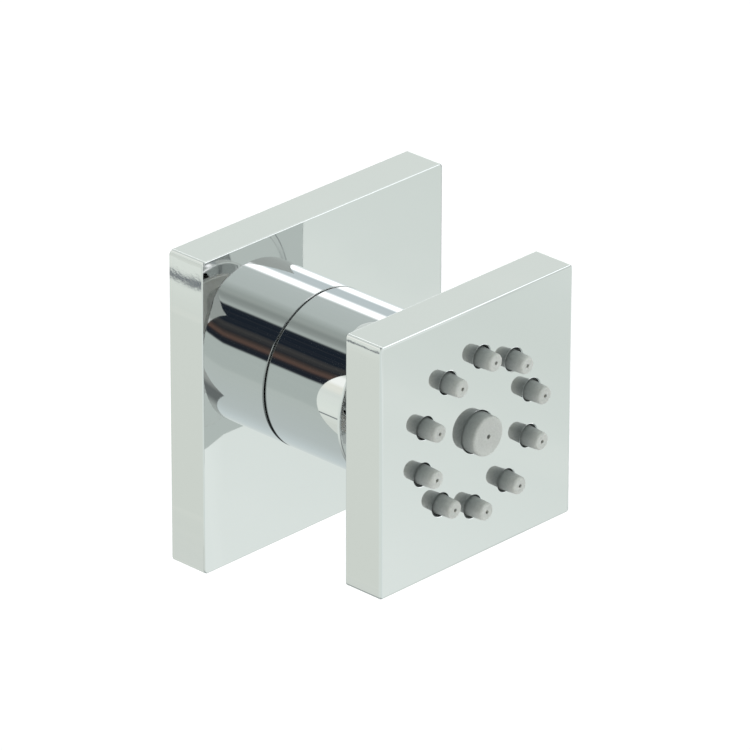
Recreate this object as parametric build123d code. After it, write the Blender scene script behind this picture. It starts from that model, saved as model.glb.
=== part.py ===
from build123d import *
from math import cos, radians, sin, sqrt, tan
import os

# A shower body jet with a ball joint, in millimetres. The wall is the plane y = 0 and the water runs along
# the Y axis. A depth is a distance out of the wall, towards -Y.

# Square wall flange, open at the back
flange_side = 60.0
flange_depth = 8.0
flange_plate = 2.2
flange_wall = 2.0
flange_corner_radius = 0.9
flange_edge_radius = 0.22

# Inlet body, with a G 1/2 female thread drawn at its minor diameter
inlet_thread_diameter = 18.631
inlet_hex_flats = 27.0
inlet_hex_start = 1.0
inlet_spigot_radius = 12.6
inlet_pocket_clearance = 0.3
inlet_web = 1.8
inlet_waterway_radius = 6.0
inlet_collar_wall = 1.4

# Inlet strainer: a rubber washer with a domed gauze in its inner groove
strainer_washer_thickness = 2.0
strainer_washer_bore = 6.3
strainer_gauze_radius = 7.2
strainer_gauze_thickness = 0.3
strainer_dome_height = 1.4

# Ball joint, as large as the cap leaves room for
ball_inlet_radius = 5.7
ball_inlet_gap = 1.0
tilt_limit = 15.0
seat_wall = 2.4
seat_reach = 4.2
seat_gap_half = 0.8
seat_lap = 1.4
seat_ring_section = 1.8
ball_clearance = 0.05
seat_clearance = 0.1
swing_clearance = 0.5
lip_clearance = 0.35

# Cap that screws over the inlet body's collar
cap_radius = 15.0
cap_length = 18.1
cap_wall = 2.55
cap_lip = 2.0
cap_front_edge_radius = 0.5
cap_rear_edge_radius = 0.15
cap_thread_relief = 0.5
cap_washer_thickness = 0.2
cap_washer_inset = 0.5
thread_clearance = 0.05
flange_hole_clearance = 0.2

# Stem between the ball and the head
stem_radius = 5.5
stem_bore_radius = 3.2
stem_shoulder_radius = 7.2
stem_shoulder_thickness = 1.2
stem_end_length = 1.4
stem_ring_section = 1.4
stem_ring_groove_play = 0.1
stem_clearance = 0.05
thrust_washer_thickness = 0.5
thrust_washer_radius = 9.0
retaining_ring_radius = 7.0
retaining_ring_thickness = 0.7
retaining_ring_groove = 0.7
retaining_ring_mouth = 6.0
end_play = 0.05

# Flow regulator in the ball's inlet
regulator_radius = 5.0
regulator_length = 4.4
regulator_wall = 1.0
regulator_floor = 1.2
regulator_hub_radius = 1.4
regulator_ring_section = 1.5
regulator_port_radius = 0.5
regulator_port_count = 6
regulator_clearance = 0.05

# Square spray head
head_side = 48.0
head_depth = 8.5
head_gap = 10.2
head_corner_radius = 0.6
head_edge_radius = 0.5
head_back_edge_radius = 0.25
face_thickness = 1.6

# Round cover in the back of the head
cover_radius = 20.0
cover_rise = 0.8
cover_edge_radius = 0.6
cover_thickness = 3.4
boss_radius = 11.3
boss_height = 0.8
boss_edge_radius = 0.3
cover_ring_section = 1.4
cover_ring_play = 0.05
bore_step = 0.75

# Jet plate and silicone nozzle mat
jet_plate_thickness = 1.5
jet_plate_rim = 2.0
jet_radius = 0.7
mat_thickness = 1.0
mat_clearance = 0.1
ring_hole_clearance = 0.3
ring_hole_offset = 0.1
centre_hole_clearance = 0.2
face_hole_edge_radius = 0.15
ring_nozzle_count = 10
ring_nozzle_circle = 14.0
ring_nozzle_phase = 86.0
ring_nozzle_base_radius = 1.9
ring_nozzle_tip_radius = 1.62
ring_nozzle_proud = 3.4
ring_nozzle_bore = 0.9
ring_nozzle_pinhole = 0.35
centre_nozzle_base_radius = 3.8
centre_nozzle_tip_radius = 3.7
centre_nozzle_proud = 2.7
centre_nozzle_bore = 2.4
centre_nozzle_pinhole = 0.45
nozzle_tip_wall = 0.9
nozzle_tip_rounding = 0.45

# Radii that follow from these sizes
inlet_thread_radius = inlet_thread_diameter / 2
pocket_radius = inlet_thread_radius + inlet_pocket_clearance
cap_thread_radius = cap_radius - cap_wall
collar_radius = cap_thread_radius - thread_clearance
cup_radius = collar_radius - inlet_collar_wall
seat_radius = cup_radius - seat_clearance
ball_radius = seat_radius - seat_wall
seat_sphere_radius = ball_radius + ball_clearance
seat_bore_radius = ball_radius - seat_lap
flange_hole_radius = collar_radius + flange_hole_clearance
shell_bore_radius = cover_radius + thread_clearance
shell_step_radius = shell_bore_radius - bore_step
cover_pilot_radius = cover_radius - cover_ring_section
ring_hole_radius = ring_nozzle_base_radius + ring_hole_clearance
centre_hole_radius = centre_nozzle_base_radius + centre_hole_clearance

# Depths that follow from these sizes
cap_rear = flange_depth + cap_washer_thickness
cap_front = cap_rear + cap_length
lip_inside = cap_front - cap_lip
ball_depth = lip_inside - seat_reach
ball_back = ball_depth - sqrt(ball_radius**2 - ball_inlet_radius**2)
cup_floor = ball_back - ball_inlet_gap
pocket_floor = cup_floor - inlet_web
inlet_thread_length = pocket_floor - strainer_washer_thickness
collar_front = ball_depth - seat_gap_half
head_back = cap_front + head_gap
face_front = head_back + head_depth
face_inside = face_front - face_thickness
mat_back = face_inside - mat_thickness
jet_plate_back = mat_back - jet_plate_thickness
cover_back = head_back - cover_rise
boss_back = cover_back - boss_height
cover_front = cover_back + cover_thickness
shoulder_front = boss_back - end_play - thrust_washer_thickness
ring_groove_back = cover_front + end_play
stem_front = cover_front + stem_end_length


def at(depth):
    """Plane parallel to the wall at a depth, with X to the right, Z up and its normal out of the wall."""
    return Plane.XZ.offset(depth)


def turned(*outline):
    """Solid turned about Y from (radius, depth) points. A pair of points is an arc, its middle and end."""
    pieces = []
    here = outline[0]
    for step in (*outline[1:], outline[0]):
        if isinstance(step[0], tuple):
            through, end = step
            pieces.append(ThreePointArc(*[(r, -d) for r, d in (here, through, end)]))
        else:
            end = step
            pieces.append(Line(*[(r, -d) for r, d in (here, end)]))
        here = end
    return revolve(make_face(Curve() + pieces), Axis.Y)


def o_ring(centre_radius, depth, section):
    """Round-section ring about the Y axis, its centre line at a radius and a depth."""
    return at(depth).location * Torus(centre_radius, section / 2)


def square_block(side, back, front, corner_radius, edge_radius):
    """Square block about the Y axis with rounded corners and rounded edges round its front face."""
    block = extrude(at(back) * RectangleRounded(side, side, corner_radius), front - back)
    front_face = block.faces().sort_by(Axis.Y)[0]
    return fillet(front_face.edges(), edge_radius)


def disc(radius, back, front):
    """Plain round disc about the Y axis between two depths."""
    return extrude(at(back) * Circle(radius), front - back)


def rims(solid, radius, depth):
    """Circular edges of a turned solid at a radius and a depth."""
    rounds = solid.edges().filter_by(GeomType.CIRCLE)
    return rounds.filter_by(lambda e: abs(e.radius - radius) < 1e-4 and abs(e.arc_center.Y + depth) < 1e-4)


def sphere_depth(radius, at_radius):
    """Distance along the axis from a sphere's centre to its parallel circle of the given radius."""
    return sqrt(radius**2 - at_radius**2)


def arc_on_ball(radius, start_depth, end_depth):
    """Arc of the joint's sphere between two depths: the point halfway along it, and its end."""
    middle_depth = (start_depth + end_depth) / 2
    middle = (sphere_depth(radius, middle_depth - ball_depth), middle_depth)
    return middle, (sphere_depth(radius, end_depth - ball_depth), end_depth)


def nozzle_places(circle):
    """Ring nozzles on a circle as (x, z) points, the first just right of the top and the rest clockwise."""
    pitch = 360 / ring_nozzle_count
    angles = [radians(ring_nozzle_phase - pitch * k) for k in range(ring_nozzle_count)]
    return [(circle * cos(a), circle * sin(a)) for a in angles]


def make_wall_flange():
    """Cast square tray with a plain round hole for the inlet body's collar."""
    tray = square_block(flange_side, 0, flange_depth, flange_corner_radius, flange_edge_radius)
    hollow_side = flange_side - 2 * flange_wall
    hollow = extrude(at(0) * RectangleRounded(hollow_side, hollow_side, flange_corner_radius),
                     flange_depth - flange_plate)
    return tray - hollow - disc(flange_hole_radius, 0, flange_depth)


def make_inlet_body():
    """Turned brass body: threaded inlet, washer pocket, web, and the cup and collar of the ball joint."""
    hex_front = flange_depth - flange_plate
    hexagon = extrude(at(inlet_hex_start) * RegularPolygon(inlet_hex_flats / 2, 6, major_radius=False),
                      hex_front - inlet_hex_start)
    spigot = disc(inlet_spigot_radius, 0, inlet_hex_start)
    collar = disc(collar_radius, hex_front, collar_front)
    waterway = turned(
        (0, 0),
        (inlet_thread_radius, 0),
        (inlet_thread_radius, inlet_thread_length),
        (pocket_radius, inlet_thread_length),
        (pocket_radius, pocket_floor),
        (inlet_waterway_radius, pocket_floor),
        (inlet_waterway_radius, cup_floor),
        (cup_radius, cup_floor),
        (cup_radius, collar_front),
        (0, collar_front),
    )
    return spigot + hexagon + collar - waterway


def make_strainer_washer():
    """Flat rubber washer on the pocket's floor, with a groove for the gauze."""
    middle = (inlet_thread_length + pocket_floor) / 2
    groove_radius = strainer_gauze_radius + thread_clearance
    groove_half = strainer_gauze_thickness / 2
    return turned(
        (strainer_washer_bore, inlet_thread_length),
        (inlet_thread_radius, inlet_thread_length),
        (inlet_thread_radius, pocket_floor),
        (strainer_washer_bore, pocket_floor),
        (strainer_washer_bore, middle + groove_half),
        (groove_radius, middle + groove_half),
        (groove_radius, middle - groove_half),
        (strainer_washer_bore, middle - groove_half),
    )


def make_strainer_screen():
    """Gauze disc with a flat rim in the washer and a dome that bulges downstream."""
    rim_back = (inlet_thread_length + pocket_floor - strainer_gauze_thickness) / 2
    rim_front = rim_back + strainer_gauze_thickness
    dome_radius = strainer_washer_bore - strainer_gauze_thickness
    half = dome_radius / 2
    sphere = (dome_radius**2 + strainer_dome_height**2) / (2 * strainer_dome_height)
    rise = strainer_dome_height - sphere + sphere_depth(sphere, half)
    return turned(
        (0, rim_back + strainer_dome_height),
        ((half, rim_back + rise), (dome_radius, rim_back)),
        (strainer_gauze_radius, rim_back),
        (strainer_gauze_radius, rim_front),
        (dome_radius, rim_front),
        ((half, rim_front + rise), (0, rim_front + strainer_dome_height)),
    )


def make_rear_seat():
    """Acetal ring behind the ball, with a round seat and a rebate for its O-ring."""
    seat_start = ball_depth - sphere_depth(seat_sphere_radius, seat_bore_radius)
    rebate_radius = cup_radius - seat_ring_section - ball_clearance
    rebate_front = cup_floor + seat_ring_section + ball_clearance
    return turned(
        (seat_bore_radius, cup_floor),
        (seat_bore_radius, seat_start),
        arc_on_ball(seat_sphere_radius, seat_start, collar_front),
        (seat_radius, collar_front),
        (seat_radius, rebate_front),
        (rebate_radius, rebate_front),
        (rebate_radius, cup_floor),
    )


def make_seat_o_ring():
    """O-ring between the rear seat and the inlet body's cup."""
    return o_ring(cup_radius - seat_ring_section / 2, cup_floor + seat_ring_section / 2, seat_ring_section)


def make_front_seat():
    """Acetal ring between the ball and the cap's lip."""
    back = ball_depth + seat_gap_half
    front = lip_inside - end_play
    return turned(
        (sphere_depth(seat_sphere_radius, front - ball_depth), front),
        arc_on_ball(seat_sphere_radius, front, back),
        (seat_radius, back),
        (seat_radius, front),
    )


def make_ball_cap():
    """Turned cap: threaded bore, bore for the seat, and a front lip open enough for the stem's swing."""
    throat_radius = sphere_depth(ball_radius, seat_reach) + lip_clearance
    reach = cap_front - ball_depth
    swing_radius = reach * tan(radians(tilt_limit)) + stem_radius / cos(radians(tilt_limit)) + swing_clearance
    cap = turned(
        (cap_thread_radius, cap_rear),
        (cap_radius, cap_rear),
        (cap_radius, cap_front),
        (max(throat_radius, swing_radius), cap_front),
        (throat_radius, lip_inside),
        (cup_radius, lip_inside),
        (cup_radius, collar_front + cap_thread_relief),
        (cap_thread_radius, collar_front + cap_thread_relief),
    )
    cap = fillet(rims(cap, cap_radius, cap_front), cap_front_edge_radius)
    return fillet(rims(cap, cap_radius, cap_rear), cap_rear_edge_radius)


def make_cap_washer():
    """Thin rubber washer that keeps the cap off the flange's plating."""
    ring = disc(cap_radius - cap_washer_inset, flange_depth, cap_rear)
    return ring - disc(flange_hole_radius, flange_depth, cap_rear)


def make_swivel_ball():
    """Plated brass ball and hollow stem in one, with grooves for the O-ring and the retaining ring."""
    neck_depth = ball_depth + sphere_depth(ball_radius, stem_radius)
    shoulder_back = shoulder_front - stem_shoulder_thickness
    pocket_end = ball_back + regulator_length
    seal_depth = (boss_back + cover_front) / 2
    seal_half = stem_ring_section / 2 + stem_ring_groove_play
    seal_radius = stem_radius - stem_ring_section
    ring_radius = stem_radius - retaining_ring_groove
    ring_groove_front = ring_groove_back + retaining_ring_thickness
    ball_side = (ball_radius, ball_depth)
    return turned(
        (regulator_radius, ball_back),
        (ball_inlet_radius, ball_back),
        (ball_side, (stem_radius, neck_depth)),
        (stem_radius, shoulder_back),
        (stem_shoulder_radius, shoulder_back),
        (stem_shoulder_radius, shoulder_front),
        (stem_radius, shoulder_front),
        (stem_radius, seal_depth - seal_half),
        (seal_radius, seal_depth - seal_half),
        (seal_radius, seal_depth + seal_half),
        (stem_radius, seal_depth + seal_half),
        (stem_radius, ring_groove_back),
        (ring_radius, ring_groove_back),
        (ring_radius, ring_groove_front),
        (stem_radius, ring_groove_front),
        (stem_radius, stem_front),
        (stem_bore_radius, stem_front),
        (stem_bore_radius, pocket_end),
        (regulator_radius, pocket_end),
    )


def make_flow_regulator():
    """Plastic cup with a hub, and ports in its floor under the regulator's ring."""
    front = ball_back + regulator_length
    outside = regulator_radius - regulator_clearance
    cup = turned(
        (outside - regulator_wall, ball_back),
        (outside, ball_back),
        (outside, front),
        (0, front),
        (0, ball_back + regulator_floor),
        (regulator_hub_radius, ball_back + regulator_floor),
        (regulator_hub_radius, front - regulator_floor),
        (outside - regulator_wall, front - regulator_floor),
    )
    port_circle = (regulator_hub_radius + outside - regulator_wall) / 2
    ports = Sketch() + PolarLocations(port_circle, regulator_port_count) * Circle(regulator_port_radius)
    return cup - extrude(at(front - regulator_floor) * ports, regulator_floor)


def make_regulator_ring():
    """Silicone ring that squeezes over the ports as the pressure rises."""
    floor_depth = ball_back + regulator_length - regulator_floor
    centre = (regulator_hub_radius + regulator_radius - regulator_clearance - regulator_wall) / 2
    return o_ring(centre, floor_depth - regulator_ring_section / 2, regulator_ring_section)


def make_stem_o_ring():
    """O-ring in the stem's groove, inside the cover's bore."""
    return o_ring(stem_radius - stem_ring_section / 2, (boss_back + cover_front) / 2, stem_ring_section)


def make_thrust_washer():
    """Acetal washer between the stem's shoulder and the boss."""
    front = shoulder_front + thrust_washer_thickness
    return disc(thrust_washer_radius, shoulder_front, front) - disc(stem_radius, shoulder_front, front)


def make_retaining_ring():
    """Open spring-steel ring in the stem's front groove, which keeps the head on the stem."""
    ring = Circle(retaining_ring_radius) - Circle(stem_radius - retaining_ring_groove)
    mouth = Pos(0, -retaining_ring_radius) * Rectangle(retaining_ring_mouth, 2 * retaining_ring_radius)
    return extrude(at(ring_groove_back) * (ring - mouth), retaining_ring_thickness)


def make_back_cover():
    """Round screwed-in cover with a low boss, bored for the stem and stepped for its O-ring."""
    pilot_back = cover_front - cover_ring_section - cover_ring_play
    bore_radius = stem_radius + stem_clearance
    cover = turned(
        (bore_radius, boss_back),
        (boss_radius, boss_back),
        (boss_radius, cover_back),
        (cover_radius, cover_back),
        (cover_radius, pilot_back),
        (cover_pilot_radius, pilot_back),
        (cover_pilot_radius, cover_front),
        (bore_radius, cover_front),
    )
    cover = fillet(rims(cover, cover_radius, cover_back), cover_edge_radius)
    return fillet(rims(cover, boss_radius, boss_back), boss_edge_radius)


def make_cover_o_ring():
    """O-ring in the corner between the cover's step and the shell's shoulder."""
    half = cover_ring_section / 2
    return o_ring(cover_radius - half, cover_front - half, cover_ring_section)


def make_jet_plate():
    """Plastic plate behind the mat: a rim that the cover presses on, and a jet hole for each nozzle."""
    radius = shell_step_radius - mat_clearance
    plate = disc(radius, cover_front, mat_back) - disc(radius - jet_plate_rim, cover_front, jet_plate_back)
    jets = Sketch() + Locations((0, 0), *nozzle_places(ring_nozzle_circle)) * Circle(jet_radius)
    return plate - extrude(at(jet_plate_back) * jets, jet_plate_thickness)


def make_nozzle(base_radius, tip_radius, proud, bore, pinhole):
    """Tapered hollow nozzle along +Z from the mat's back, with a rounded tip and a pinhole."""
    height = mat_thickness + face_thickness + proud
    bore_end = height - nozzle_tip_wall
    outline = Polyline((pinhole, bore_end), (pinhole, height), (tip_radius, height),
                       (base_radius, mat_thickness), (base_radius, 0), (bore, 0), (bore, bore_end),
                       close=True)
    body = revolve(make_face(Plane.XZ * outline), Axis.Z)
    tip = body.edges().filter_by(GeomType.CIRCLE).filter_by(lambda e: abs(e.radius - tip_radius) < 1e-6)
    return fillet(tip, nozzle_tip_rounding)


def make_nozzle_mat():
    """One silicone moulding: a disc behind the face, and the nozzles that pass through it."""
    mat = disc(shell_step_radius - mat_clearance, mat_back, face_inside)
    centre = make_nozzle(centre_nozzle_base_radius, centre_nozzle_tip_radius, centre_nozzle_proud,
                         centre_nozzle_bore, centre_nozzle_pinhole)
    small = make_nozzle(ring_nozzle_base_radius, ring_nozzle_tip_radius, ring_nozzle_proud,
                        ring_nozzle_bore, ring_nozzle_pinhole)
    plane = at(mat_back).location
    mat -= plane * extrude(Circle(centre_nozzle_bore), mat_thickness)
    mat += plane * centre
    for x, z in nozzle_places(ring_nozzle_circle):
        mat -= plane * Pos(x, z) * extrude(Circle(ring_nozzle_bore), mat_thickness)
        mat += plane * Pos(x, z) * small
    return mat


def make_head_shell():
    """Square plated shell: face with a hole round each nozzle, and a stepped round bore for the cover.

    The mat shrinks as it cures, so its ring of nozzles is a little smaller than the face's ring of holes.
    """
    shell = square_block(head_side, head_back, face_front, head_corner_radius, head_edge_radius)
    back_face = shell.faces().sort_by(Axis.Y)[-1]
    shell = fillet(back_face.edges(), head_back_edge_radius)
    shell -= disc(shell_bore_radius, head_back, cover_front)
    shell -= disc(shell_step_radius, head_back, face_inside)
    ring_holes = Locations(*nozzle_places(ring_nozzle_circle + ring_hole_offset)) * Circle(ring_hole_radius)
    shell -= extrude(at(face_inside) * (Circle(centre_hole_radius) + ring_holes), face_thickness)
    mouths = rims(shell, centre_hole_radius, face_front) + rims(shell, ring_hole_radius, face_front)
    return fillet(mouths, face_hole_edge_radius)


PARTS = {
    "wall_flange": make_wall_flange,
    "inlet_body": make_inlet_body,
    "strainer_washer": make_strainer_washer,
    "strainer_screen": make_strainer_screen,
    "rear_seat": make_rear_seat,
    "seat_o_ring": make_seat_o_ring,
    "front_seat": make_front_seat,
    "ball_cap": make_ball_cap,
    "cap_washer": make_cap_washer,
    "swivel_ball": make_swivel_ball,
    "flow_regulator": make_flow_regulator,
    "regulator_ring": make_regulator_ring,
    "stem_o_ring": make_stem_o_ring,
    "thrust_washer": make_thrust_washer,
    "retaining_ring": make_retaining_ring,
    "back_cover": make_back_cover,
    "cover_o_ring": make_cover_o_ring,
    "jet_plate": make_jet_plate,
    "nozzle_mat": make_nozzle_mat,
    "head_shell": make_head_shell,
}

os.makedirs("parts", exist_ok=True)
for node, make in PARTS.items():
    solid = make()
    solid.label = node
    export_step(solid, f"parts/{node}.step")
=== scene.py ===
import bpy
import numpy as np
from math import cos, pi, radians, sin, tan
from mathutils import Matrix, Vector


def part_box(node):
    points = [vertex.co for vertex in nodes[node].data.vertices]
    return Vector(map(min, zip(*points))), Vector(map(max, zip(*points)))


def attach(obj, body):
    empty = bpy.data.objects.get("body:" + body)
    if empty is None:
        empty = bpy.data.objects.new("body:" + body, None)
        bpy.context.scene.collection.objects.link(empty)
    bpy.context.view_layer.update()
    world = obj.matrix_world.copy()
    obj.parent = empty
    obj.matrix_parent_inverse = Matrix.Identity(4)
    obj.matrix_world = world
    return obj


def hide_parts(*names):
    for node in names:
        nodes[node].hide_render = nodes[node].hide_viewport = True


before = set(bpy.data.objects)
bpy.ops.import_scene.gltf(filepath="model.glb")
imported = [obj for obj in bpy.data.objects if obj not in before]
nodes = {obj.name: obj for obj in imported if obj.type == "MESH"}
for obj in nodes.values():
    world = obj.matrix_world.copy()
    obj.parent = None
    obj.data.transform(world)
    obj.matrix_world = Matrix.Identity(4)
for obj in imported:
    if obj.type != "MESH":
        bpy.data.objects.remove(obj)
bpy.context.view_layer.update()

# Wall flange: a square brass casting, hollow behind, that covers the pipe's hole in the wall.
# It is ground and polished outside, nickel and chrome plated, and left as it was cast inside,
# where only a thin grey film of plating reaches.

flange_low, flange_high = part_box("wall_flange")
flange_half = flange_high.x
flange_front = flange_low.y
cast_reach = flange_half - 0.0017
cast_front = flange_front + 0.0018
roll_start = flange_half - 0.005
roll_top = flange_half - 0.0025
roll_full = flange_half - 0.0095
roll_height = 3.2
front_facing = -0.9
grit_height = 4.0
cast_roughness = 0.46
chrome_tint = (0.685, 0.689, 0.692)
plating_relief = 0.00003


def feed(tree, node, inputs):
    """Gives inputs of a node a constant each, or a link where the value is another node's socket."""
    for key, value in inputs.items():
        if isinstance(value, bpy.types.NodeSocket):
            tree.links.new(value, node.inputs[key])
        else:
            node.inputs[key].default_value = value


def put(tree, kind, inputs=None, **properties):
    """New node in a tree, with its properties and inputs."""
    node = tree.nodes.new(kind)
    for name, value in properties.items():
        setattr(node, name, value)
    feed(tree, node, inputs or {})
    return node


def read(tree, kind):
    """Coordinates of a kind, whole and as their X, Y and Z."""
    whole = put(tree, "ShaderNodeTexCoord").outputs[kind]
    return whole, put(tree, "ShaderNodeSeparateXYZ", {0: whole}).outputs


def calc(tree, operation, *values):
    """Result of one operation on numbers or sockets."""
    return put(tree, "ShaderNodeMath", dict(enumerate(values)), operation=operation).outputs[0]


def fade(tree, value, start, end, low=0.0, high=1.0, smooth=False):
    """A value carried over from the range start to end onto low to high, and held at them outside it."""
    limits = {"Value": value, "From Min": start, "From Max": end, "To Min": low, "To Max": high}
    slope = "SMOOTHSTEP" if smooth else "LINEAR"
    return put(tree, "ShaderNodeMapRange", limits, interpolation_type=slope).outputs[0]


def noise(tree, place, scale, detail, roughness=0.5):
    """Cloudy noise about a half, with a scale in waves for each unit of its coordinates."""
    waves = {"Vector": place, "Scale": scale, "Detail": detail, "Roughness": roughness}
    return put(tree, "ShaderNodeTexNoise", waves).outputs[0]


def effect(name, inputs, outputs):
    """Shader node group with numbers in, as label: default, and numbers out. Gives the group, the
    sockets that bring its inputs, and the node that takes its outputs."""
    tree = bpy.data.node_groups.new(name, "ShaderNodeTree")
    for label, default in inputs.items():
        socket = tree.interface.new_socket(label, in_out="INPUT", socket_type="NodeSocketFloat")
        socket.default_value = default
    for label in outputs:
        tree.interface.new_socket(label, in_out="OUTPUT", socket_type="NodeSocketFloat")
    given = tree.nodes.new("NodeGroupInput").outputs
    return tree, given, tree.nodes.new("NodeGroupOutput")


# The buffing wheel leaves ripples about 15 mm long, with weaker ones of 8 and 4 mm on them. It takes more
# off the upright sides of a square piece towards their ends, which fall away by the square of the height
# past a ragged start, up to an end, and leaves the front a little crowned, by the square of the distance
# from a point low on its left. Wiping leaves long smears that are a little duller than the rest.
polish, given, result = effect(
    "polished_plating",
    {"Gloss": 0.03, "Smears": 0.03, "Fall start": 1.0, "Fall end": 1.0, "Fall rate": 0.0, "Crown": 0.0},
    ("Roughness", "Height"),
)
smear_stray = 0.00018
ripple_stray = 0.0012
crown_left = 0.016
crown_low = 0.016
place, side = read(polish, "Object")
facing = read(polish, "Normal")[1]
ripple = noise(polish, place, scale=65, detail=1.5, roughness=0.35)
wiping = {"Vector": place, "Rotation": (0.4, 0.9, 0.3), "Scale": (60, 420, 420)}
wiped = put(polish, "ShaderNodeMapping", wiping).outputs[0]
smear = noise(polish, wiped, scale=1, detail=5, roughness=0.6)
upward = calc(polish, "ABSOLUTE", side["Z"])
ragged = calc(polish, "MULTIPLY_ADD", smear, smear_stray, upward)
ragged = calc(polish, "MULTIPLY_ADD", ripple, ripple_stray, ragged)
past = calc(polish, "MINIMUM", ragged, given["Fall end"])
past = calc(polish, "SUBTRACT", past, given["Fall start"])
past = calc(polish, "MAXIMUM", past, 0.0)
upright = calc(polish, "MULTIPLY", facing["X"], facing["X"])
fall = calc(polish, "MULTIPLY", past, past)
fall = calc(polish, "MULTIPLY", fall, given["Fall rate"])
fall = calc(polish, "MULTIPLY", fall, upright)
rightward = calc(polish, "ADD", side["X"], crown_left)
raised = calc(polish, "ADD", side["Z"], crown_low)
crown = calc(polish, "MULTIPLY", rightward, rightward)
crown = calc(polish, "MULTIPLY_ADD", raised, raised, crown)
front = calc(polish, "MULTIPLY", facing["Y"], facing["Y"])
crown = calc(polish, "MULTIPLY", crown, given["Crown"])
crown = calc(polish, "MULTIPLY", crown, front)
height = calc(polish, "SUBTRACT", ripple, fall)
height = calc(polish, "SUBTRACT", height, crown)
duller = fade(polish, smear, 0.45, 0.75)
gloss = calc(polish, "MULTIPLY_ADD", duller, given["Smears"], given["Gloss"])
feed(polish, result, {"Roughness": gloss, "Height": height})


def new_finish(name):
    """New material and its node tree."""
    material = bpy.data.materials.new(name)
    material.use_nodes = True
    return material, material.node_tree


def shade(tree, inputs):
    """Sets or links inputs of a material's one shader."""
    feed(tree, tree.nodes["Principled BSDF"], inputs)


def ramp(tree, share, stops):
    """Colour along (position, colour) stops, the positions rising from 0 to 1."""
    node = put(tree, "ShaderNodeValToRGB", {"Fac": share})
    elements = node.color_ramp.elements
    elements.remove(elements[1])
    for k, (position, colour) in enumerate(stops):
        element = elements.new(position) if k else elements[0]
        element.position = position
        element.color = (*colour, 1)
    return node.outputs["Color"]


def mix(tree, share, first, second):
    """Number between two, by a share from 0 to 1."""
    return put(tree, "ShaderNodeMix", {0: share, 2: first, 3: second}, data_type="FLOAT").outputs[0]


def tint(tree, share, first, second, blend="MIX"):
    """Colour between two, or the second laid on the first by another blend, by a share from 0 to 1."""
    colours = {0: share, 6: first, 7: second}
    return put(tree, "ShaderNodeMix", colours, data_type="RGBA", blend_type=blend).outputs[2]


def relief(tree, height, depth, strength=1.0):
    """Normal of a surface raised by a height, with the depth in metres of a height of 1."""
    raised = {"Height": height, "Strength": strength, "Distance": depth}
    return put(tree, "ShaderNodeBump", raised).outputs[0]


def dress(material, *names):
    """Gives CAD nodes their finish."""
    for name in names:
        nodes[name].data.materials[0] = material


flange_chrome, tree = new_finish("flange_chrome")
plating = {"Gloss": 0.022, "Smears": 0.025, "Fall start": flange_half - 0.0112,
           "Fall end": flange_half - 0.00015, "Fall rate": 150000}
plated = put(tree, "ShaderNodeGroup", plating, node_tree=polish).outputs
place, side = read(tree, "Object")
across = calc(tree, "ABSOLUTE", side["X"])
upward = calc(tree, "ABSOLUTE", side["Z"])
reach = calc(tree, "MAXIMUM", across, upward)
within = calc(tree, "LESS_THAN", reach, cast_reach)
hollow = calc(tree, "GREATER_THAN", side["Y"], cast_front)
cast = calc(tree, "MULTIPLY", within, hollow)
skin = noise(tree, place, scale=1500, detail=6, roughness=0.65)
film = ramp(tree, skin, [(0.3, (0.30, 0.31, 0.31)), (0.7, (0.47, 0.48, 0.47))])
grit = calc(tree, "MULTIPLY", skin, grit_height)
# Polishing took most off the left edge below its top corner, so the face rolls off there by the square of
# the distance and bends what it mirrors.
rolled = fade(tree, side["X"], -roll_start, -flange_half)
rolled = calc(tree, "POWER", rolled, 2.0)
below = fade(tree, side["Z"], roll_top, roll_full, smooth=True)
facing = read(tree, "Normal")[1]
front = calc(tree, "LESS_THAN", facing["Y"], front_facing)
rolled = calc(tree, "MULTIPLY", rolled, below)
rolled = calc(tree, "MULTIPLY", rolled, front)
buffed = calc(tree, "MULTIPLY_ADD", rolled, -roll_height, plated["Height"])
shade(tree, {
    "Base Color": tint(tree, cast, (*chrome_tint, 1), film),
    "Roughness": mix(tree, cast, plated["Roughness"], cast_roughness),
    "Normal": relief(tree, mix(tree, cast, buffed, grit), plating_relief),
    "Metallic": 1.0,
})
dress(flange_chrome, "wall_flange")

# Inlet body: turned from hexagon brass bar, with the female pipe thread that screws on the nipple in
# the wall, a pocket for the strainer, and the cup and collar of the ball joint. It clamps the flange
# to the wall with its hexagon, and stays bare brass because the cap and the flange hide it.

# Sizes of the new pieces are in millimetres. Those that come from the frame stay in metres.
thread_pitch = 1.814
thread_minor = 9.3155
thread_depth = 1.162
thread_length = 8.99
thread_flat = 0.12
thread_run_out = 1.2
mouth_cone = 1.35
pocket_start = 8.994
pocket_floor = 10.994
pocket_radius = 9.6155
waterway_radius = 6.0
waterway_front = 12.5
waterway_mouth = 6.3
cup_floor = 12.794
cup_radius = 11.0
collar_radius = 12.4
collar_front = 19.3
turned_bevel = 0.4
spigot_radius = 12.6
bar_flats = 27.0
bar_start = 1.0
bar_front = 5.8
chamfer_radius = 13.75
chamfer_front = 2.1
chamfer_angle = 30
lathe_feed = 0.34


def hexagon(turn, flats):
    """Radius of a hexagon at each turn angle: half the width over flats, divided by the cosine of the
    angle to the nearest flat's middle. A corner lies at angle 0."""
    return flats / 2 / np.cos((turn % (pi / 3)) - pi / 6)


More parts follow.
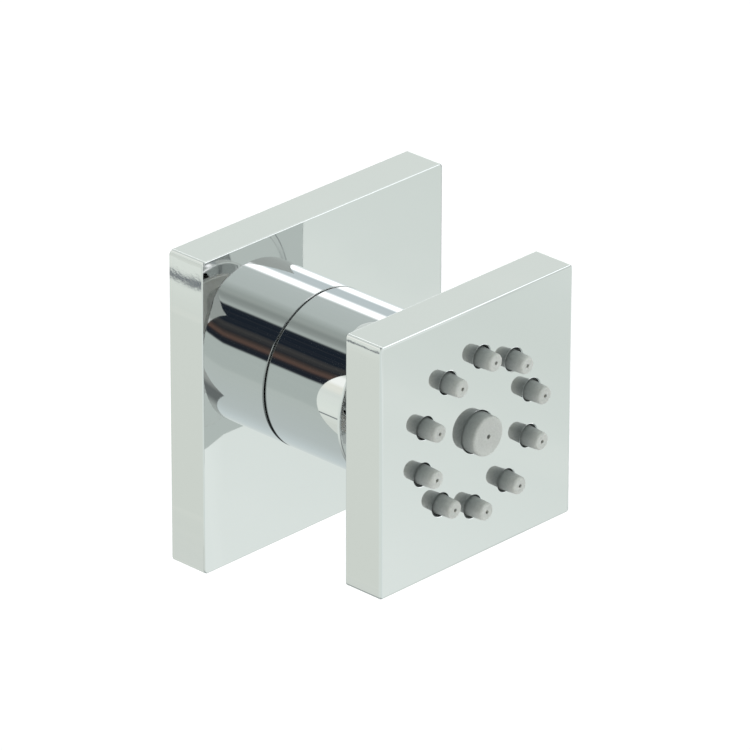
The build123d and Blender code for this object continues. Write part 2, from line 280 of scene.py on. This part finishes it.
def thread_wall(depth, turn):
    """Radius of the female thread: the minor radius plus a triangle wave with flats, of the depth over
    the pitch less the turn angle, so that the groove climbs one pitch in each turn. It runs out at the
    inner end and opens in a 45 degree cone at the mouth."""
    phase = depth / thread_pitch - turn / (2 * pi)
    wave = np.abs(2 * (phase - np.floor(phase)) - 1)
    groove = np.clip((wave - thread_flat) / (1 - 2 * thread_flat), 0, 1)
    groove = groove * np.clip((thread_length - depth) / thread_run_out, 0, 1)
    return np.maximum(thread_minor + thread_depth * groove, thread_minor + mouth_cone - depth)


def around(radius, depth, turn):
    """Points about the jet's axis, in millimetres: at a radius and a turn angle from +X to +Z, and at a
    depth out of the wall, towards -Y."""
    return np.stack(np.broadcast_arrays(radius * np.cos(turn), -depth, radius * np.sin(turn)), -1)


def turned(profile, turn):
    """Turned surface: a circle about the jet's axis for each (radius, depth) of a profile."""
    radius, depth = np.array(profile).T[:, :, None]
    return around(radius, depth, turn)


def numbered(points, first=0):
    """Vertex numbers of a grid of points."""
    return first + np.arange(points[..., 0].size).reshape(points.shape[:-1])


def closed_faces(index):
    """Quads over a grid of vertex numbers that closes on itself along its rows and its columns."""
    below, right = np.roll(index, -1, 0), np.roll(index, -1, 1)
    return np.stack([index, right, np.roll(below, -1, 1), below], -1).reshape(-1, 4).tolist()


def new_piece(name, points, faces, crease):
    """New piece from points in millimetres. Edges that bend by more than the crease, in degrees, stay
    sharp."""
    mesh = bpy.data.meshes.new(name)
    mesh.from_pydata((points.reshape(-1, 3) / 1000).tolist(), [], faces)
    mesh.set_sharp_from_angle(angle=radians(crease))
    piece = bpy.data.objects.new(name, mesh)
    bpy.context.scene.collection.objects.link(piece)
    return piece


turn = np.linspace(0, 2 * pi, 120, endpoint=False)
bar = hexagon(turn, bar_flats)
chamfer = np.linspace(bar_start, chamfer_front, 9)[:, None]
cone = chamfer_radius + (chamfer - bar_start) / tan(radians(chamfer_angle))
thread = np.linspace(thread_length, 0, 100)[:, None]
spigot = [(spigot_radius - turned_bevel, 0), (spigot_radius, turned_bevel), (spigot_radius, bar_start)]
collar = [(collar_radius, bar_front), (collar_radius, collar_front - turned_bevel),
          (collar_radius - turned_bevel, collar_front)]
bore = [(cup_radius, collar_front), (cup_radius, cup_floor), (waterway_mouth, cup_floor),
        (waterway_radius, waterway_front), (waterway_radius, pocket_floor), (pocket_radius, pocket_floor),
        (pocket_radius, pocket_start)]
inlet_wall = np.concatenate([
    turned(spigot, turn),
    around(np.minimum(bar, cone), chamfer, turn),
    around(bar[None], bar_front, turn),
    turned(collar + bore, turn),
    around(thread_wall(thread, turn), thread, turn),
])
inlet = new_piece("threaded_inlet", inlet_wall, closed_faces(numbered(inlet_wall)), crease=35)

# The lathe tool leaves one fine line for each turn: rings on faces across the axis and hoops on
# cylinders along it, so the lines follow the radius plus the depth.
bare_brass, tree = new_finish("bare_brass")
place, side = read(tree, "Object")
flat = put(tree, "ShaderNodeCombineXYZ", {0: side["X"], 2: side["Z"]}).outputs[0]
away = put(tree, "ShaderNodeVectorMath", {0: flat}, operation="LENGTH").outputs["Value"]
path = calc(tree, "SUBTRACT", away, side["Y"])
cloud = noise(tree, place, scale=150, detail=3)
line = calc(tree, "MULTIPLY", path, 2 * pi * 1000 / lathe_feed)
line = calc(tree, "MULTIPLY_ADD", cloud, 1.5, line)
line = calc(tree, "SINE", line)
line = calc(tree, "MULTIPLY_ADD", line, 0.5, 0.5)
tarnish = [(0.30, (0.52, 0.35, 0.13)), (0.48, (0.67, 0.48, 0.20)), (0.70, (0.75, 0.56, 0.26))]
shade(tree, {
    "Base Color": ramp(tree, cloud, tarnish),
    "Roughness": fade(tree, cloud, 0.3, 0.7, low=0.32, high=0.20),
    "Normal": relief(tree, line, depth=0.000012, strength=0.5),
    "Metallic": 1.0,
})
inlet.data.materials.append(bare_brass)
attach(inlet, "wall_mount")
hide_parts("inlet_body")

# Inlet strainer: a flat moulded rubber washer that seals on the nipple, with a dome of woven
# stainless wire held in its groove. The wire cloth is pressed to its dome and keeps grit out of the
# nozzles.

# Moulded rubber and plastic copy the fine grain of the mould and have faint broad patches of flow.
mottle, given, result = effect("moulded_grain", {"Grain": 2500.0, "Patch": 160.0}, ("Fine", "Broad"))
place = read(mottle, "Object")[0]
fine = noise(mottle, place, scale=given["Grain"], detail=3)
broad = noise(mottle, place, scale=given["Patch"], detail=2)
feed(mottle, result, {"Fine": fine, "Broad": broad})


def moulded(name, dark, light, roughness, grain, depth):
    """Moulded finish: colour between two tones by grain and patches, gloss by patches, relief by grain."""
    material, tree = new_finish(name)
    copied = put(tree, "ShaderNodeGroup", {"Grain": grain}, node_tree=mottle).outputs
    tone = calc(tree, "ADD", copied["Fine"], copied["Broad"])
    tone = fade(tree, tone, 0.7, 1.3)
    shade(tree, {
        "Base Color": ramp(tree, tone, [(0, dark), (1, light)]),
        "Roughness": fade(tree, copied["Broad"], 0.3, 0.7, low=roughness - 0.06, high=roughness + 0.06),
        "Normal": relief(tree, copied["Fine"], depth, strength=0.5),
    })
    return material


seal_rubber = moulded("seal_rubber", dark=(0.010, 0.010, 0.011), light=(0.026, 0.026, 0.028),
                      roughness=0.55, grain=3000, depth=0.00002)
dress(seal_rubber, "strainer_washer")

wire_radius = 0.09
wire_count = 23
mesh_pitch = 0.52
dome_radius = 6.15
dome_rise = 1.4
rim_depth = 9.994
rim_radius = 7.2
rim_half = 0.15
rim_flat_from = 6.1
rim_bore = 5.95
rim_bore_half = 0.13


def wire_path(along, offset, sway):
    """Centre line of a wire as (along, offset, depth): it crosses the dome at a fixed offset, follows the
    dome's sphere, and sways by its own radius, above and below the crossing wires in turn."""
    sphere = (dome_radius**2 + dome_rise**2) / (2 * dome_rise)
    dome = np.sqrt(sphere**2 - along**2 - offset**2) - (sphere - dome_rise)
    return np.stack([along, offset + 0 * along, dome + wire_radius * sway], -1)


def cloth_place(points):
    """Points of the wire cloth, (along, offset, depth), set in the inlet."""
    return np.stack([points[..., 0], -(rim_depth + points[..., 2]), points[..., 1]], -1)


# A wire of the warp is a six-sided tube about its centre line. The weft is the warp with along and offset
# exchanged and its sway turned over, so that the wires pass over and under each other.
order = np.arange(wire_count)[:, None]
offset = (order - wire_count // 2) * mesh_pitch
along = np.sqrt(dome_radius**2 - offset**2) * np.linspace(-1, 1, 93)
sway = np.sin(pi * along / mesh_pitch + pi * order)
lines = wire_path(along, offset, sway)
ahead = np.gradient(lines, axis=1)
ahead /= np.linalg.norm(ahead, axis=-1, keepdims=True)
across = np.array([0.0, 1.0, 0.0]) - ahead * ahead[..., 1:2]
across /= np.linalg.norm(across, axis=-1, keepdims=True)
normal = np.cross(ahead, across)
bend = np.linspace(0, 2 * pi, 6, endpoint=False)[:, None]
section = across[:, :, None] * np.cos(bend) + normal[:, :, None] * np.sin(bend)
warp = lines[:, :, None] + wire_radius * section
weft = warp[..., [1, 0, 2]]
weft[..., 2] -= 2 * wire_radius * sway[:, :, None]
cloth = np.concatenate([cloth_place(warp), cloth_place(weft)[:, :, ::-1]])
index = numbered(cloth)
near, far = index[:, :-1], index[:, 1:]
tubes = np.stack([near, np.roll(near, -1, 2), np.roll(far, -1, 2), far], -1).reshape(-1, 4)
ends = np.concatenate([index[:, 0, ::-1], index[:, -1]])
rim_profile = [
    (rim_bore, rim_depth - rim_bore_half), (rim_flat_from, rim_depth - rim_half),
    (rim_radius, rim_depth - rim_half), (rim_radius, rim_depth + rim_half),
    (rim_flat_from, rim_depth + rim_half), (rim_bore, rim_depth + rim_bore_half),
]
rim = turned(rim_profile, np.linspace(0, 2 * pi, 96, endpoint=False))
gauze_points = np.concatenate([cloth.reshape(-1, 3), rim.reshape(-1, 3)])
gauze_faces = tubes.tolist() + ends.tolist() + closed_faces(numbered(rim, index.size))
gauze = new_piece("strainer_gauze", gauze_points, gauze_faces, crease=50)

stainless_wire, tree = new_finish("stainless_wire")
drawn = put(tree, "ShaderNodeGroup", {"Grain": 1800, "Patch": 260}, node_tree=mottle).outputs
shade(tree, {
    "Base Color": ramp(tree, drawn["Fine"], [(0.3, (0.42, 0.42, 0.41)), (0.7, (0.62, 0.61, 0.59))]),
    "Roughness": fade(tree, drawn["Broad"], 0.3, 0.7, low=0.22, high=0.36),
    "Metallic": 1.0,
})
gauze.data.materials.append(stainless_wire)
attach(gauze, "wall_mount")
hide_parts("strainer_screen")

# Ball seats: two rings turned from white acetal rod, one behind the ball and one between the ball and
# the cap's lip, with a rubber ring that presses the rear one forward. Acetal slides on chrome without
# grease.

seat_acetal = moulded("seat_acetal", dark=(0.74, 0.74, 0.70), light=(0.86, 0.86, 0.83),
                      roughness=0.36, grain=1600, depth=0.00001)
shade(seat_acetal.node_tree, {"Subsurface Weight": 0.12, "Subsurface Radius": (0.0012, 0.0011, 0.0009)})
dress(seat_acetal, "rear_seat", "front_seat")
dress(seal_rubber, "seat_o_ring")

# Swivel ball: ball and hollow stem turned from one brass bar, polished and chrome plated. The ball
# holds a small acetal flow regulator with a rubber ring in its inlet.


def bright_plating(name, worn=None):
    """Polished chrome plating all over a piece, with the fall and crown that polishing has worn it to."""
    material, tree = new_finish(name)
    plating = {"Gloss": 0.02} | (worn or {})
    plated = put(tree, "ShaderNodeGroup", plating, node_tree=polish).outputs
    shade(tree, {
        "Base Color": (*chrome_tint, 1),
        "Roughness": plated["Roughness"],
        "Normal": relief(tree, plated["Height"], plating_relief),
        "Metallic": 1.0,
    })
    return material


bright_chrome = bright_plating("bright_chrome")
dress(bright_chrome, "swivel_ball")
dress(seat_acetal, "flow_regulator")
dress(seal_rubber, "regulator_ring")

# Ball cap and its washer: a turned and plated brass cap that screws over the inlet body's collar and
# holds the ball in its seats. A thin rubber washer keeps its edge off the flange's plating. The washer
# has painted light on its upper part, and the cap's rear edge has a dark line of painted shade below,
# standing for the shadow in the gap.

cap_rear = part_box("ball_cap")[1].y
# Where the dark line of painted shade at the cap's rear edge starts and is full, and how far below the axis
# it fades out.
painted_shade_start = cap_rear - 0.0004
painted_shade_full = cap_rear - 0.00025
painted_shade_spread = 0.008
# Heights where the washer's painted light from above starts and is full, and how ragged its edge is.
painted_light_start = 0.004
painted_light_full = 0.016
painted_light_stray = 0.006

cap_chrome = bright_plating("cap_chrome")
tree = cap_chrome.node_tree
side = read(tree, "Object")[1]
# Painted shade: a dark line along the cap's rear edge on its lower side, standing for the shadow in the gap
# at the flange.
lower = fade(tree, side["Z"], painted_shade_spread, -painted_shade_spread)
joint = fade(tree, side["Y"], painted_shade_start, painted_shade_full)
painted_gap_shade = calc(tree, "MULTIPLY", lower, joint)
shade(tree, {"Base Color": tint(tree, painted_gap_shade, (*chrome_tint, 1), (0.04, 0.045, 0.045, 1))})
dress(cap_chrome, "ball_cap")

washer_rubber, tree = new_finish("washer_rubber")
copied = put(tree, "ShaderNodeGroup", {"Grain": 3000}, node_tree=mottle).outputs
side = read(tree, "Object")[1]
# Painted light: the washer's colour is paler on its upper part, as if lit from above through the gap.
painted_top_light = calc(tree, "MULTIPLY_ADD", copied["Broad"], painted_light_stray, side["Z"])
painted_top_light = fade(tree, painted_top_light, painted_light_start, painted_light_full)
shade(tree, {
    "Base Color": ramp(tree, painted_top_light, [(0, (0.045, 0.05, 0.048)), (1, (0.62, 0.64, 0.63))]),
    "Roughness": 0.6,
    "Normal": relief(tree, copied["Fine"], depth=0.00002, strength=0.5),
})
dress(washer_rubber, "cap_washer")

# Stem seal and stops: an O-ring in the stem's groove, an acetal washer under the head's boss, and an
# open spring-steel ring that keeps the head on the stem.

dress(seal_rubber, "stem_o_ring")
dress(seat_acetal, "thrust_washer")
dress(stainless_wire, "retaining_ring")

# Back cover: a round plated brass cover with a low boss, turned from bar and screwed into the head's
# back on an O-ring. Its rim is turned down to a shallow bevel behind a fine step, which shows as a
# double line in the flange's mirror.

cover_bore = 5.55
boss_back = 34.9
boss_radius = 11.3
boss_edge = 0.3
cover_back = 35.7
step_radius = 18.7
step_edge = 0.1
step_front = 35.82
bevel_start = (18.75, 35.825)
bevel_end = (19.64, 35.911)
bevel_angle = 5.5
cover_radius = 20.0
cover_edge = 0.3
cover_edge_front = 36.214
cover_side_back = 36.27
cover_thread_front = 37.65
pilot_radius = 18.6
cover_front = 39.1
edge_margin = 0.05


def rounded(radius, depth, size, first=0.0):
    """Profile of a turned outer edge: an arc of a size, from the angle first, in degrees from the face's
    own line, to the cylinder of a radius, which it meets at a depth."""
    bend = np.radians(np.linspace(first, 90, 7))
    return np.stack([radius - size + size * np.sin(bend), depth - size * np.cos(bend)], -1)


# A row close to each rounded edge keeps the edge's shading off the flat beside it.
cover_profile = np.concatenate([
    [(cover_bore, boss_back), (cover_bore + edge_margin, boss_back),
     (boss_radius - boss_edge - edge_margin, boss_back)],
    rounded(boss_radius, boss_back + boss_edge, boss_edge),
    [(boss_radius, boss_back + boss_edge + edge_margin), (boss_radius, cover_back),
     (boss_radius + edge_margin, cover_back), (step_radius - step_edge - edge_margin, cover_back)],
    rounded(step_radius, cover_back + step_edge, step_edge),
    [(step_radius, step_front), bevel_start, bevel_end],
    rounded(cover_radius, cover_edge_front, cover_edge, first=bevel_angle),
    [(cover_radius, cover_side_back), (cover_radius, cover_thread_front), (pilot_radius, cover_thread_front),
     (pilot_radius, cover_front), (cover_bore, cover_front)],
])
cover_wall = turned(cover_profile, np.linspace(0, 2 * pi, 192, endpoint=False))
cover = new_piece("bevelled_cover", cover_wall, closed_faces(numbered(cover_wall)), crease=35)
cover.data.materials.append(bright_chrome)
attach(cover, "spray_head")
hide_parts("back_cover")
dress(seal_rubber, "cover_o_ring")

# Jet plate: a moulded grey plastic disc that presses the mat on the face and has one hole for each
# nozzle.

jet_plastic = moulded("jet_plastic", dark=(0.09, 0.092, 0.092), light=(0.14, 0.142, 0.142),
                      roughness=0.42, grain=1400, depth=0.00001)
dress(jet_plastic, "jet_plate")

# Nozzle mat: one moulding of soft grey silicone, ten small nozzles and a large one on a disc behind
# the face. The mould is spark-eroded, which leaves a fine matt grain. Light passes through the thin
# tips, and the colour also has painted shade at the roots, where they sit in their holes, and painted light
# on the tips.

head_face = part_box("head_shell")[0].y
tip_from = head_face - 0.0028
# Tones from painted shade at the roots, through a middle tone, to painted light at the tips.
shaded_root_tone = (0.27, 0.285, 0.28)
middle_tone = (0.375, 0.39, 0.38)
lit_tip_tone = (0.56, 0.565, 0.54)

nozzle_silicone, tree = new_finish("nozzle_silicone")
eroded = put(tree, "ShaderNodeGroup", {"Grain": 2600}, node_tree=mottle).outputs
side = read(tree, "Object")[1]
# Painted shade at the roots and painted light on the tips, by how far the silicone stands out of the face.
proud = fade(tree, side["Y"], head_face, tip_from)
tone = ramp(tree, proud, [(0, shaded_root_tone), (0.5, middle_tone), (1, lit_tip_tone)])
patch = calc(tree, "ADD", eroded["Fine"], eroded["Broad"])
patch = fade(tree, patch, 0.7, 1.3, low=0.88, high=1.08)
shade(tree, {
    "Base Color": put(tree, "ShaderNodeVectorMath", {0: tone, "Scale": patch}, operation="SCALE").outputs[0],
    "Roughness": fade(tree, eroded["Broad"], 0.3, 0.7, low=0.52, high=0.64),
    "Normal": relief(tree, eroded["Fine"], depth=0.00004, strength=0.5),
    "Subsurface Weight": 0.35,
    "Subsurface Radius": (1.0, 0.97, 0.9),
    "Subsurface Scale": 0.0008,
})
dress(nozzle_silicone, "nozzle_mat")

# Head shell: a square brass casting, ground flat on five sides, drilled for the nozzles, polished and
# chrome plated. The cover and the jet plate go in from behind.

head_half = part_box("head_shell")[1].x
head_worn = {"Fall start": head_half - 0.0018, "Fall end": head_half + 0.001, "Fall rate": 800000,
             "Crown": 7300}
head_chrome = bright_plating("head_chrome", head_worn)
dress(head_chrome, "head_shell")

# Floor: a plain pale sheet under the jet, lit through from below so that it comes out white. It lights
# the jet from underneath, stays out of its mirrors, and is clear when seen from below.

floor_radius = 3.0
floor_height = -0.12
floor_corners = 64

angle = np.linspace(0, 2 * pi, floor_corners, endpoint=False)
corners = np.stack([floor_radius * np.cos(angle), floor_radius * np.sin(angle), 0 * angle + floor_height], -1)
mesh = bpy.data.meshes.new("pale_floor")
mesh.from_pydata(corners.tolist(), [], [list(range(floor_corners))])
floor = bpy.data.objects.new("pale_floor", mesh)
bpy.context.scene.collection.objects.link(floor)
pale_sheet, tree = new_finish("pale_sheet")
shade(tree, {
    "Base Color": (0.94, 0.89, 0.92, 1),
    "Roughness": 0.9,
    "Specular IOR Level": 0.1,
    "Emission Color": (1, 1, 1, 1),
    "Emission Strength": 0.3,
})
lit = tree.nodes["Principled BSDF"].outputs[0]
under = put(tree, "ShaderNodeNewGeometry").outputs["Backfacing"]
clear = put(tree, "ShaderNodeBsdfTransparent").outputs[0]
one_sided = put(tree, "ShaderNodeMixShader", {0: under, 1: lit, 2: clear}).outputs[0]
feed(tree, tree.nodes["Material Output"], {"Surface": one_sided})
floor.data.materials.append(pale_sheet)
floor.visible_glossy = False

# Light: a white cloth tent with two strip lights over the jet's right and a dark opening on its left.
# The tent has three lengths along Y, before, beside and behind the wall's plane, each a ramp of the
# angle about that axis, with faint folds, and plain cloth closes its two ends.

strip = (2.7, 2.75, 2.75)
weak_strip = (1.9, 1.93, 1.93)
opening = (0.02, 0.03, 0.045)
cloth_left = (0.78, 0.88, 0.83)
cloth_white = (0.9, 0.98, 0.93)
cloth_back = (0.9, 0.97, 0.92)
shaded_right = (0.3, 0.34, 0.34)
shaded_below = (0.36, 0.40, 0.39)
thin_line = (0.10, 0.12, 0.15)
back_light = (1.25, 1.29, 1.24)
fold_light = (0.04, 0.035, 0.03)
end_cloth = (0.9, 0.98, 0.94)
beside_reach = 0.48
length_change = 0.10
end_start = 0.75
end_full = 0.95

# A stop of a ramp is an angle about Y, in degrees from the right up over the top, and the tone there.
before = [
    (-180, cloth_left), (-161, cloth_left), (-156, (0.87, 0.97, 0.915)), (-100, (0.885, 0.985, 0.965)),
    (-72, (0.97, 1.09, 1.09)), (-36, (1.02, 1.10, 1.06)), (-31, (0.86, 0.94, 0.89)), (-14, (1.2, 1.3, 1.3)),
    (-3, strip), (6, strip), (14, (0.95, 1.07, 1.09)), (32, (1.0, 1.12, 1.14)), (38, strip), (45, strip),
    (50, (0.9, 1.0, 0.97)), (84, (0.85, 0.95, 0.91)), (95, (0.62, 0.70, 0.66)), (100, (0.60, 0.67, 0.63)),
    (105, (0.45, 0.51, 0.48)), (110, (0.50, 0.56, 0.53)), (115, (0.70, 0.78, 0.74)),
    (117, (0.66, 0.74, 0.70)), (118.5, opening), (138, opening), (143, (0.085, 0.085, 0.083)),
    (149, (0.04, 0.045, 0.052)), (153, (0.10, 0.075, 0.065)), (157, (0.19, 0.12, 0.095)),
    (161, (0.03, 0.035, 0.045)), (168, opening), (169.5, (0.77, 0.87, 0.82)), (180, cloth_left),
]
beside = [
    (-180, (0.92, 1.0, 0.94)), (-140, cloth_white), (-122, (0.62, 0.68, 0.65)), (-104, (0.40, 0.44, 0.43)),
    (-78, (0.38, 0.42, 0.41)), (-62, (0.86, 0.94, 0.89)), (-45, cloth_white), (-32, shaded_right),
    (-6, shaded_right), (4, cloth_white), (58, (0.85, 0.93, 0.88)), (63, weak_strip), (73, weak_strip),
    (78, (0.74, 0.81, 0.78)), (104, (0.62, 0.68, 0.66)), (113, (0.10, 0.115, 0.13)),
    (139, (0.055, 0.065, 0.08)), (146, (0.78, 0.86, 0.82)), (166, (0.95, 1.03, 0.97)),
    (180, (0.92, 1.0, 0.94)),
]
behind = [
    (-180, (0.95, 1.02, 0.96)), (-170, (0.97, 1.05, 0.98)), (-160, (0.99, 1.06, 0.99)),
    (-155.9, (0.95, 1.02, 0.95)), (-154.8, thin_line), (-154.4, thin_line), (-153.3, (0.93, 1.0, 0.93)),
    (-145, (0.86, 0.92, 0.85)), (-126, (0.84, 0.90, 0.85)), (-114, shaded_below), (-96, shaded_below),
    (-78, (0.85, 0.93, 0.88)), (-33, (0.88, 0.98, 0.93)), (10, cloth_back), (36, cloth_back), (41, strip),
    (47, strip), (52, (0.85, 0.92, 0.88)), (110, (0.8, 0.87, 0.83)), (146, (0.85, 0.92, 0.86)),
    (150, back_light), (159, back_light), (163, (1.06, 1.08, 0.98)), (169, (1.03, 1.06, 0.97)),
    (174, (0.92, 0.99, 0.93)), (180, (0.95, 1.02, 0.96)),
]

tent = bpy.data.worlds.new("light_tent")
tent.use_nodes = True
bpy.context.scene.world = tent
tree = tent.node_tree
side = read(tree, "Generated")[1]
about = calc(tree, "ARCTAN2", side["Z"], side["X"])
about = calc(tree, "MULTIPLY_ADD", about, 1 / (2 * pi), 0.5)
lengths = [ramp(tree, about, [((angle + 180) / 360, tone) for angle, tone in stops])
           for stops in (before, beside, behind)]
leave = fade(tree, side["Y"], -beside_reach - length_change, -beside_reach, smooth=True)
reach = fade(tree, side["Y"], beside_reach, beside_reach + length_change, smooth=True)
walls = tint(tree, leave, lengths[0], lengths[1])
walls = tint(tree, reach, walls, lengths[2])
folds = {"W": about, "Scale": 150, "Detail": 3, "Roughness": 0.7}
fold = put(tree, "ShaderNodeTexNoise", folds, noise_dimensions="1D").outputs[0]
fold = fade(tree, fold, 0.5, 0.8)
walls = tint(tree, fold, walls, (*fold_light, 1), blend="ADD")
end = calc(tree, "ABSOLUTE", side["Y"])
end = fade(tree, end, end_start, end_full, smooth=True)
walls = tint(tree, end, walls, (*end_cloth, 1))
seen = put(tree, "ShaderNodeLightPath").outputs["Is Camera Ray"]
feed(tree, tree.nodes["Background"], {"Color": tint(tree, seen, walls, (1, 1, 1, 1))})

# Camera: a long lens that looks down from the front left, as the photograph was taken. It is aimed at a
# point by the cap's front end, and rolled by a trace.

azimuth = radians(-46.14)
elevation = radians(25.52)
roll = radians(0.17)
aim = Vector((-0.0056, -0.0258, 0.00645))
distance = 1.2614
focal_length = 348.67
sensor_width = 36

back = Vector((sin(azimuth) * cos(elevation), -cos(azimuth) * cos(elevation), sin(elevation)))
level = Vector((cos(azimuth), sin(azimuth), 0))
upright = back.cross(level)
right = cos(roll) * level + sin(roll) * upright
up = cos(roll) * upright - sin(roll) * level
lens = bpy.data.cameras.new("long_lens")
lens.sensor_width = sensor_width
lens.lens = focal_length
camera = bpy.data.objects.new("long_lens", lens)
camera.matrix_world = Matrix.LocRotScale(aim + distance * back, Matrix((right, up, back)).transposed(), None)
bpy.context.scene.collection.objects.link(camera)
bpy.context.scene.camera = camera
bpy.context.scene.view_settings.view_transform = "Standard"
